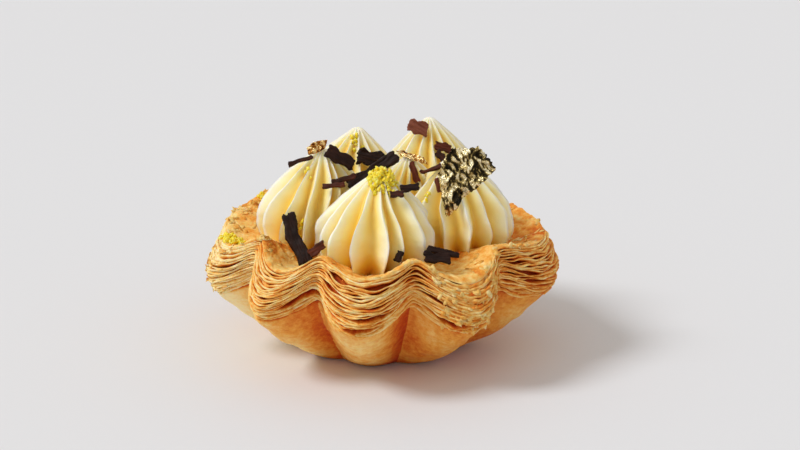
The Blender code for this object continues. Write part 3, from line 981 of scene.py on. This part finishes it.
def pastry_dish(pastry):
    """The inside of the shell from over the rim to the middle, where the sheets have flaked."""
    angle = round_angles()
    rings, bakes_and_shades = [], []
    for share in UNDERSIDE_SHARES:
        section, _, out = with_normal(dish_section, share, angle)
        rings.append(in_space(section - out * UNDERSIDE_DEPTH, angle))
        bakes_and_shades.append(np.full(COLUMNS, UNDERSIDE_BAKE))
    top_leaf = ripple(in_space(band_section(1.0, angle), angle), 5, 41)
    for share in DISH_SHARES:
        section, _, out = with_normal(dish_section, share, angle)
        place = in_space(section, angle)
        relief, torn = torn_sheets(place, SHEET_SIZE, SHEET_STEP, 42)
        torn = torn * smooth_step(ripple(place, 3.5, 44), -0.2, 0.8)
        fade = smooth_step(share, 0.0, 0.05)
        blisters = np.abs(ripple(place, 1.9, 45)) + 0.5 * np.abs(ripple(place, 0.9, 49))
        blistered = fade * smooth_step(ripple(place, 9, 50), -0.7, 0.6)
        offset = fade * SHEET_RELIEF * relief + blistered * BLISTER_RELIEF * blisters - 0.12
        edge = 0.3 * top_leaf * (1 - fade)
        rings.append(in_space(section + out * (offset + edge)[:, None], angle))
        rim = math.exp(-share / 0.03)
        pale = PALE_SLOPE[2] * around(angle, *PALE_SLOPE[:2])
        # Painted side shade as on the wall, the paler slope and random tone.
        tone = DISH_BAKE + side_shade(angle) - pale + ripples(place, DISH_TONE)
        # Painted highlight and shade: blister tops are painted paler and the hollows between them darker.
        bakes_and_shades.append(tone - 0.2 * rim - 0.1 * torn * fade - 0.12 * blistered * (blisters - 0.8))
    points, faces = capped(rings, (0, 0, DISH_HOLLOW), (0, 0, FLOOR_HEIGHT))
    bakes_and_shades = np.append(np.hstack(bakes_and_shades), (UNDERSIDE_BAKE, 0.4))
    far = np.hypot(points[:, 0], points[:, 1]) > FLAKY_BEYOND
    patchy = 0.1 + 0.9 * smooth_step(ripple(points, 8, 48), 0.0, 1.0)
    flaky = far * patchy * (points[:, 2] > FLOOR_HEIGHT)
    values = {"bake": bakes_and_shades, "flaky": flaky, "layered": points * MM}
    return mesh_object("pastry_dish", points, faces, pastry, **values)


def star_object(name):
    """A kiss's fins as points that carry each fin's direction and height."""
    seed = KISSES[name][5]
    draw = random.Random(seed)
    step = 2 * math.pi / FINS
    angles = [step * (i + draw.uniform(-0.2, 0.2)) + 0.1 * seed for i in range(FINS)]
    heights = [draw.uniform(0.93, 1.03) for _ in range(FINS)]
    data = bpy.data.meshes.new("star")
    data.from_pydata([(0, 0, 0)] * (FINS + 1), [], [])
    store(data, "turn", angles + [angles[0] + 2 * math.pi])
    store(data, "height", heights + heights[:1])
    return placed("star", data)


def kiss_walls(name):
    """Where a kiss is pressed flat against its neighbours: (normal x, normal y, distance)."""
    place, radius = Vector(KISSES[name][0]), KISSES[name][1]
    walls = []
    for other, (spot, reach, *_) in KISSES.items():
        apart = Vector(spot) - place
        if other != name and apart.length < radius + reach:
            distance = apart.length * radius / (radius + reach) - SIDE_GAP
            walls.append((*apart.normalized(), distance))
    return walls + [(1.0, 0.0, 1000.0)] * (WALLS - len(walls))


def kiss_tree(cream):
    """A piped kiss: a star of fins that swells and twists as it comes down from its tip."""
    inputs = {"Star": "Object", "Dish": "Object", "Foot": "Vector", "Radius": "Float", "Tip": "Float"}
    inputs.update({"Lean": "Vector", "Twist": "Float", "Seed": "Float"})
    inputs.update({f"Wall {i}": "Vector" for i in range(WALLS)})
    net, given = geometry_net("piped_kiss", inputs)
    sizes = {"Size X": 1.0, "Size Y": 1.0, "Vertices X": FINS * POINTS_PER_FIN + 1}
    grid = net.add("GeometryNodeMeshGrid", {}, {**sizes, "Vertices Y": KISS_LEVELS})
    x, y, _ = net.split(net.position())
    along = y + 0.5
    level = (along / (1 - SOLE_SHARE)).math("MINIMUM", 1.0)
    inset = 1 - ((along - 1 + SOLE_SHARE) / SOLE_SHARE).clip()
    turn = (x + 0.5) * FINS
    fin = (turn + 0.0001).math("FLOOR").math("MINIMUM", FINS - 1.0)
    across = turn - fin

    star = net.geometry_of(given["Star"])

    def of_fin(label):
        """A value between this fin and the next."""
        kept = net.named(label)
        ends = []
        for step in (0, 1):
            sockets = {"Geometry": star, "Value": kept, "Index": fin + step}
            ends.append(net.add("GeometryNodeSampleIndex", {"data_type": "FLOAT"}, sockets))
        return ends[0] + (ends[1] - ends[0]) * across

    # Sway and ruffle come from noise on a circle of radius 1, a metre for a node tree.
    straight = of_fin("turn")
    circle = net.join(straight.math("COSINE"), straight.math("SINE"), level * 1.3)
    sway = net.noise(net.vector("ADD", circle, net.join(given["Seed"], 0.0, 0.0)), 1000, 2.0)
    ruffle_place = net.vector("MULTIPLY", circle, (2.5, 2.5, 3.5))
    ruffle = net.noise(net.vector("ADD", ruffle_place, net.join(0.0, given["Seed"], 0.0)), 1000, 2.0)
    heading = straight + given["Twist"] * (level - 0.5) + (sway - 0.5) * SWAY
    trough = (across * math.pi).math("SINE").math("ABSOLUTE") ** FIN_ROUNDING
    fins = of_fin("height") * (1 - FIN_DEPTH * trough)
    swell = (DOME * math.pi * level**TIP_PULL).math("SINE")
    swell = swell + BLUNT_TIP * (level * 50).clip() * (1 - level)
    free = given["Radius"] * swell * fins * (1 + (ruffle - 0.5) * RUFFLE)

    way_x, way_y = heading.math("COSINE"), heading.math("SINE")
    lean_x, lean_y, _ = net.split(given["Lean"])
    bend = (1 - level) ** LEAN_CURVE
    out = free
    for i in range(WALLS):
        wall_x, wall_y, distance = net.split(given[f"Wall {i}"])
        facing = (wall_x * way_x + wall_y * way_y).math("MAXIMUM", 0.02)
        room = distance - (wall_x * lean_x + wall_y * lean_y) * bend
        room = (room / facing).math("MAXIMUM", 0.3)
        out = out.math("SMOOTH_MIN", room, PRESSED_SOFTNESS)

    foot_x, foot_y, _ = net.split(given["Foot"])
    spot_x = foot_x + lean_x * bend + way_x * out * inset
    spot_y = foot_y + lean_y * bend + way_y * out * inset
    height = given["Tip"] - (given["Tip"] - FLOOR_HEIGHT) * level
    ground = net.split(net.dropped(net.geometry_of(given["Dish"]), spot_x, spot_y))[2] / MM
    rest = height.math("MAXIMUM", ground - FOOT_SINK)
    spot = net.vector("MULTIPLY", net.join(spot_x, spot_y, rest), (MM, MM, MM))

    # Painted shade: grooves between the fins, and nooks where a kiss is pressed against its neighbours or
    # comes down near the dish, are painted golden.
    pressed = ((free - out) / PRESSED_DEPTH).clip()
    low = 1 - (rest - ground).smooth(0.0, NOOK_SHADE_HEIGHT)
    opening = level.smooth(*GROOVE_SHADE_START)
    kiss = net.stored(grid, "groove", trough * opening)
    kiss = net.stored(kiss, "nook", pressed.math("MAXIMUM", low))
    kiss = net.moved(kiss, spot)
    kiss = net.add("GeometryNodeMergeByDistance", {}, {"Geometry": kiss, "Distance": 0.002 * MM})
    end_tree(net, kiss, cream)
    return net.tree


def piped_kisses(cream, dish):
    """The six kisses, each where its CAD solid is."""
    tree = kiss_tree(cream)
    kisses = {}
    for name, (foot, radius, tip, lean, twist, seed) in KISSES.items():
        star = star_object(name)
        values = {"Star": star, "Dish": dish, "Foot": (*foot, 0.0), "Radius": radius, "Tip": tip}
        values.update({"Lean": (*lean, 0.0), "Twist": math.radians(twist), "Seed": float(seed)})
        values.update({f"Wall {i}": wall for i, wall in enumerate(kiss_walls(name))})
        kisses[name] = face_outwards(grow(name + "_piped", tree, values))
        bpy.data.objects.remove(star)
        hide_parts(name)
        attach(kisses[name], "root")
    return kisses


def grains_tree(material):
    """Small uneven grains scattered in a round patch on whatever lies under it."""
    inputs = {"Ground": "Object", "Middle": "Vector", "Spread": "Float", "Count": "Int"}
    inputs.update({"Size": "Float", "Depth": "Float", "Seed": "Int"})
    net, given = geometry_net(material.name + "_grains", inputs)
    index = net.add("GeometryNodeInputIndex", {}, {})

    def draw(low, high, shift):
        return net.draw(low, high, given["Seed"] + shift, ID=index)

    out = given["Spread"] * ((index + 0.3) / given["Count"]).math("SQRT") * draw(0.7, 1.1, 1)
    turn = index * GOLDEN_TURN + draw(0.0, 0.8, 2)
    middle_x, middle_y, _ = net.split(given["Middle"])
    x = middle_x + out * turn.math("COSINE")
    y = middle_y + out * turn.math("SINE")
    points = net.add("GeometryNodePoints", {}, {"Count": given["Count"]})
    hit = net.dropped(net.geometry_of(given["Ground"]), x, y)
    heap = given["Depth"] * (1 - out / given["Spread"]).math("MAXIMUM", 0.0) * draw(0.0, 1.0, 3)
    lift = net.scaled(hit.other("Hit Normal"), (heap + given["Size"] * 0.25) * MM)
    place = net.vector("ADD", hit, lift)
    points = net.stored(points, "found", hit.other("Is Hit"), "BOOLEAN")
    points = net.moved(points, place)

    lump = net.add("GeometryNodeMeshUVSphere", {}, {"Segments": 7, "Rings": 5, "Radius": 0.5 * MM})
    where = net.position()
    knobs = net.noise(where, 0.5, 2.0) * 1.3 + 0.35
    uneven = net.vector("MULTIPLY", where, net.join(knobs, knobs, knobs))
    lump = net.moved(lump, uneven)
    spin = net.join(draw(0.0, 6.28, 4), draw(0.0, 6.28, 5), draw(0.0, 6.28, 6))
    size = given["Size"]
    scale = net.join(size * draw(0.7, 2.0, 7), size * draw(0.6, 1.3, 8), size * draw(0.5, 1.1, 9))
    sockets = {"Points": points, "Instance": lump, "Rotation": spin, "Scale": scale}
    sockets["Selection"] = net.named("found", "BOOLEAN")
    grains = net.add("GeometryNodeInstanceOnPoints", {}, sockets)
    end_tree(net, grains, material)
    return net.tree


def flakes_tree(pastry):
    """Thin blistered flakes that lie on the pastry wherever it is marked as flaky."""
    net, given = geometry_net("pastry_flakes", {"Ground": "Object", "Density": "Float", "Seed": "Int"})
    sockets = {"Mesh": net.geometry_of(given["Ground"]), "Seed": given["Seed"]}
    sockets["Density"] = given["Density"] * net.named("flaky")
    spots = net.add("GeometryNodeDistributePointsOnFaces", {}, sockets)

    def draw(low, high, shift):
        return net.draw(low, high, given["Seed"] + shift)

    sizes = {"Vertices": 7, "Radius": 0.5 * MM, "Depth": 0.09 * MM}
    flake = net.add("GeometryNodeMeshCylinder", {"fill_type": "TRIANGLE_FAN"}, sizes)
    where = net.position()
    edge = net.noise(where, 0.45, 2.0) * 1.4 + 0.3
    wave = (net.noise(where, 0.5, 1.0) - 0.5) * 0.4 * MM
    flat = net.vector("MULTIPLY", where, net.join(edge, edge, 1.0))
    flake = net.moved(flake, net.vector("ADD", flat, net.join(0.0, 0.0, wave)))
    tilt = net.join(draw(-0.16, 0.16, 1), draw(-0.16, 0.16, 2), draw(0.0, 6.28, 3))
    facing = {"Rotation": spots.other("Rotation"), "Rotate By": tilt}
    spin = net.add("FunctionNodeRotateRotation", {"rotation_space": "LOCAL"}, facing)
    scale = net.join(draw(0.8, 2.6, 4), draw(0.6, 1.7, 5), draw(0.8, 1.3, 6))
    sockets = {"Points": spots, "Instance": flake, "Rotation": spin, "Scale": scale}
    flakes = net.add("GeometryNodeInstanceOnPoints", {}, sockets)
    end_tree(net, net.stored(flakes, "bake", draw(*FLAKE_BAKE, 7), domain="INSTANCE"), pastry)
    return net.tree


def loose_flakes(pastry, grounds):
    """Flakes on the dish and on the leaves that have broken away."""
    tree = flakes_tree(pastry)
    pieces = []
    for seed, (ground, per_square) in enumerate(grounds):
        values = {"Ground": ground, "Density": per_square / MM**2, "Seed": 50 + 10 * seed}
        pieces.append(grow(f"flakes_{seed}", tree, values))
    piece = joined("pastry_flakes", pieces)
    inside = held(of_points(piece.data) / MM) * MM
    piece.data.vertices.foreach_set("co", inside.ravel())
    piece.data.update()
    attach(piece, "root")


def joined(name, pieces):
    """Several pieces as one."""
    mesh = bmesh.new()
    for piece in pieces:
        mesh.from_mesh(piece.data)
    kept = pieces[0]
    mesh.to_mesh(kept.data)
    mesh.free()
    for piece in pieces[1:]:
        bpy.data.objects.remove(piece)
    kept.name = name
    kept.data.name = name
    kept.data.shade_smooth()
    return kept


def zest_grains(zest, grounds):
    """The lemon zest: one piece of grains for the cream and one for the pastry."""
    tree = grains_tree(zest)
    patches = {"cream": [], "pastry": []}
    for i, (carrier, middle, reach, count, depth) in enumerate(ZEST):
        values = {"Ground": grounds[carrier], "Middle": (*middle, 0.0), "Spread": reach, "Count": count}
        values.update({"Size": ZEST_SIZE, "Depth": depth, "Seed": 10 + i})
        patches[carrier.split("_")[0]].append(grow(f"zest_{i}", tree, values))
    for kind, slot in (("cream", "lemon_cream"), ("pastry", "pastry")):
        piece = joined(f"zest_on_{kind}", patches[kind])
        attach(piece, "root")


def merged_copy(node):
    """A CAD node's mesh with its loose triangles joined, as a bmesh in millimetres."""
    mesh = bmesh.new()
    mesh.from_mesh(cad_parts[node].data)
    mesh.transform(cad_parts[node].matrix_world)
    bmesh.ops.remove_doubles(mesh, verts=mesh.verts[:], dist=0.01 * MM)
    bmesh.ops.scale(mesh, vec=(1 / MM,) * 3, verts=mesh.verts[:])
    return mesh


def own_axes(mesh):
    """A mesh's middle, its long, wide and thin directions, and its size along them."""
    points = np.array([v.co for v in mesh.verts])
    middle = points.mean(0)
    _, _, axes = np.linalg.svd(points - middle, full_matrices=False)
    return middle, axes, np.ptp((points - middle) @ axes.T, axis=0)


def remeshed(name, mesh, voxel):
    """A mesh in millimetres as an even mesh with cells of a size."""
    data = bpy.data.meshes.new(name)
    mesh.to_mesh(data)
    mesh.free()
    host = placed(name, data)
    remesh = host.modifiers.new("cells", "REMESH")
    remesh.mode = "VOXEL"
    remesh.voxel_size = voxel
    settle(host)
    bpy.data.meshes.remove(data)
    return host


def of_points(data, label="co"):
    """The places of a mesh's points, or their normals."""
    rows = np.empty(len(data.vertices) * 3)
    data.vertices.foreach_get(label, rows)
    return rows.reshape(-1, 3)


def finish_piece(piece, points, material, node):
    """Gives a piece its points in millimetres and its material, and sets it in its node's place."""
    piece.data.vertices.foreach_set("co", (held(points, TOPPING_MARGIN) * MM).ravel())
    piece.data.materials.clear()
    piece.data.materials.append(material)
    piece.data.shade_smooth()
    piece.data.update()
    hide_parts(node)
    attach(piece, "root")


def chocolate_shaving(node, chocolate, seed):
    """A shaving in its CAD solid's place: ragged ends, and fibres along its length."""
    mesh = merged_copy(node)
    middle, axes, size = own_axes(mesh)
    piece = remeshed(node + "_shaved", mesh, max(SHAVING_CELL, size[2] * 0.14))
    points = of_points(piece.data)
    local = (points - middle) @ axes.T
    fibre = 0.55 * ripple(local * (0.12, 1, 0.6), 0.7, seed)
    fibre += 0.45 * ripple(local * (0.3, 1, 1), 0.35, seed + 1)
    lumps = ripple(local, 1.8, seed + 2)
    deep = 0.1 + 0.05 * size[2]
    swell = SHAVING_SWELL + (fibre - 0.2) * deep + 0.05 * lumps
    moved = points + of_points(piece.data, "normal") * swell[:, None]
    end = smooth_step(np.abs(local[:, 0]), 0.3 * size[0], 0.5 * size[0])
    ragged = end * (0.24 * ripple(local * (0.1, 1, 1), 0.6, seed + 3) - 0.1) * min(1.0, 0.12 * size[0])
    moved += np.outer(ragged * np.sign(local[:, 0]), axes[0])
    store(piece.data, "grain", local * MM)
    store(piece.data, "warmth", np.full(len(points), WARM_SHAVINGS.get(node, COOL_SHAVING)))
    finish_piece(piece, moved, chocolate, node)


def crumpled(flat, seed):
    """How far crumpled foil stands out at places on it, in sharp folds, large and small."""
    return sum(deep * (0.5 - np.abs(ripple(flat, size, seed + shift))) for deep, size, shift in FOLDS)


def crumpled_leaf(node, gold, seed, amber_below):
    """A gold leaf in its CAD solid's place, thin and sharply crumpled."""
    mesh = merged_copy(node)
    middle, axes, size = own_axes(mesh)
    thin = Vector(axes[2])
    thin = -thin if thin.y > 0 else thin
    mesh.normal_update()
    back = [f for f in mesh.faces if f.normal.dot(thin) < 0.35]
    bmesh.ops.delete(mesh, geom=back, context="FACES")
    cuts = 5 if size[0] > 10 else 4
    bmesh.ops.subdivide_edges(mesh, edges=mesh.edges[:], cuts=cuts, use_grid_fill=True)
    bmesh.ops.triangulate(mesh, faces=mesh.faces[:])
    bmesh.ops.subdivide_edges(mesh, edges=mesh.edges[:], cuts=1, use_grid_fill=True)
    data = bpy.data.meshes.new(node + "_crumpled")
    mesh.to_mesh(data)
    mesh.free()
    piece = placed(node + "_crumpled", data)
    points = of_points(data)
    local = (points - middle) @ axes.T
    flat = local[:, :2]
    crumple = crumpled(flat, seed)
    # Painted highlight and reflection: a glint from the slope of the folds, as if a light shone from one
    # side.
    step = 0.06
    slope = crumpled(flat + (step, -step), seed) - crumpled(flat - (step, -step), seed)
    glint = smooth_step(slope / step, -1.5, 1.5)
    frayed = 1 - 0.05 * np.abs(ripple(flat, 0.9, seed + 2)) - 0.03 * np.abs(ripple(flat, 0.35, seed + 3))
    moved = middle + (local * np.stack((frayed, frayed, np.ones(len(frayed))), 1)) @ axes
    moved += np.outer(crumple, np.array(thin))
    store(data, "amber", smooth_step(points[:, 2], amber_below + 0.8, amber_below - 0.8))
    store(data, "glint", glint)
    finish_piece(piece, moved, gold, node)
    shell = piece.modifiers.new("foil", "SOLIDIFY")
    shell.thickness = FOIL_THICKNESS * MM
    shell.offset = 0.0


def chocolate_and_gold(chocolate, gold):
    """Every shaving and leaf, in the places of their CAD solids."""
    for seed, node in enumerate(sorted(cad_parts)):
        if node.startswith("gold_leaf"):
            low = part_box(node)[0][2] / MM
            amber_below = low + AMBER_HEIGHT if node == "gold_leaf_right" else ALL_AMBER
            crumpled_leaf(node, gold, 200 + 5 * seed, amber_below)
        elif not node.startswith(("pastry", "cream")):
            chocolate_shaving(node, chocolate, 300 + 5 * seed)


def pastry_shell(pastry, skin, sheet):
    """The shell's pieces: its outside, the leaves of its cut edge and its inside."""
    dish = pastry_dish(sheet)
    leaves = []
    for i, part in enumerate(LEAF_PIECES):
        numbers = range(LEAVES * i // len(LEAF_PIECES), LEAVES * (i + 1) // len(LEAF_PIECES))
        leaves.append(pastry_leaves(f"pastry_{part}_leaves", numbers, pastry))
    for piece in (pastry_wall(skin), *leaves, dish):
        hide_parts("pastry_shell")
        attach(piece, "root")
    on_leaves = [(piece, FLAKES_ON_LEAVES) for piece in leaves]
    loose_flakes(pastry, [(dish, FLAKES_ON_DISH), *on_leaves])
    return dish


def table(white):
    """The plain table that the tart stands on."""
    half, low = TABLE_HALF * MM, -TABLE_GAP * MM
    corners = [(-half, -half, low), (half, -half, low), (half, half, low), (-half, half, low)]
    data = bpy.data.meshes.new("table")
    data.from_pydata(corners, [], [(0, 1, 2, 3)])
    data.materials.append(white)
    placed("table", data)


def sun():
    """The soft light from the upper left."""
    light = bpy.data.lights.new("key", "SUN")
    light.energy = SUN_STRENGTH
    light.angle = math.radians(SUN_SPREAD)
    light.color = SUN_COLOUR
    holder = placed("key", light)
    holder.location = SUN_WAY
    holder.rotation_euler = (Vector((0, 0, 0.03)) - Vector(SUN_WAY)).to_track_quat("-Z", "Y").to_euler()


def studio():
    """The sun, and an even pale surround."""
    bpy.context.scene.view_settings.view_transform = "Standard"
    sun()
    world = bpy.data.worlds.new("surround")
    world.use_nodes = True
    surround = world.node_tree.nodes["Background"]
    surround.inputs["Color"].default_value = SURROUND_COLOUR
    surround.inputs["Strength"].default_value = SURROUND_STRENGTH
    bpy.context.scene.world = world


def camera():
    """The photograph's view of the tart."""
    tilt = math.radians(VIEW_ELEVATION)
    back = Vector((0, -math.cos(tilt), math.sin(tilt)))
    data = bpy.data.cameras.new("view")
    data.lens = VIEW_LENS
    data.sensor_width = 36.0
    data.clip_start = 0.01
    view = placed("view", data)
    view.location = (Vector(VIEW_AIM) + back * VIEW_DISTANCE) * MM
    view.rotation_euler = (-back).to_track_quat("-Z", "Y").to_euler()
    bpy.context.scene.camera = view


def build():
    camera()
    studio()
    table(studio_white())
    leaves = baked_pastry("baked_leaves", 0.7, 0.7, 0.34)
    skin = baked_pastry("baked_skin", 0.12, 0.65, 0.12)
    sheet = baked_pastry("baked_sheet", 0.0, 0.75, 0.26)
    dish = pastry_shell(leaves, skin, sheet)
    kisses = piped_kisses(lemon_cream(), dish)
    zest_grains(lemon_zest(), {**kisses, "pastry_shell": dish})
    chocolate_and_gold(dark_chocolate(), gold_leaf())


build()
